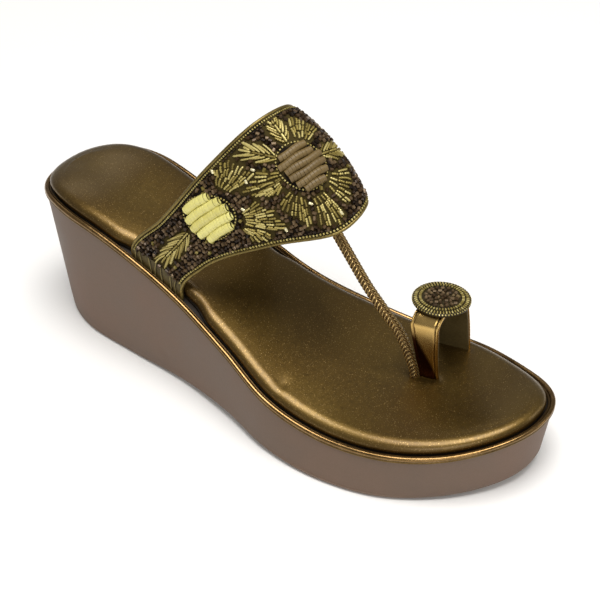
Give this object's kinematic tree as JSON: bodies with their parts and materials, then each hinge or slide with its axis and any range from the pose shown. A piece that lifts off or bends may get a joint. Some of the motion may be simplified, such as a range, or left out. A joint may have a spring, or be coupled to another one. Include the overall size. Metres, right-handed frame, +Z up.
{
  "type": "toe-ring wedge sandal",
  "caption": "Right-foot wedge sandal with a padded footbed, an arched beaded instep strap, a toe loop with a round beaded disc, and a plaited cord between strap and loop.",
  "frame": {"origin": "on the floor under the middle of the sandal's bounding box", "axes": "+Z up; the toe points along -Y and the heel along +Y; the outer side of the right foot is at -X"},
  "size_m": [0.0947, 0.25, 0.1308],
  "materials": {
    "mauve_wedge": "smooth matte wrap over a foam wedge",
    "gold_leather": "shiny metallic synthetic leather",
    "bronze_leather": "satin metallic synthetic leather over foam",
    "beaded_strap": "glass and metallic beads sewn close together on lined cloth",
    "braided_cord": "plaited metallic yarn"
  },
  "bodies": {
    "root": {"wedge_sole": "mauve_wedge", "rim_piping": "gold_leather", "footbed": "bronze_leather", "instep_strap": "beaded_strap", "toe_loop": "gold_leather", "toe_disc": "beaded_strap", "toe_cord": "braided_cord"}
  },
  "joints": []
}
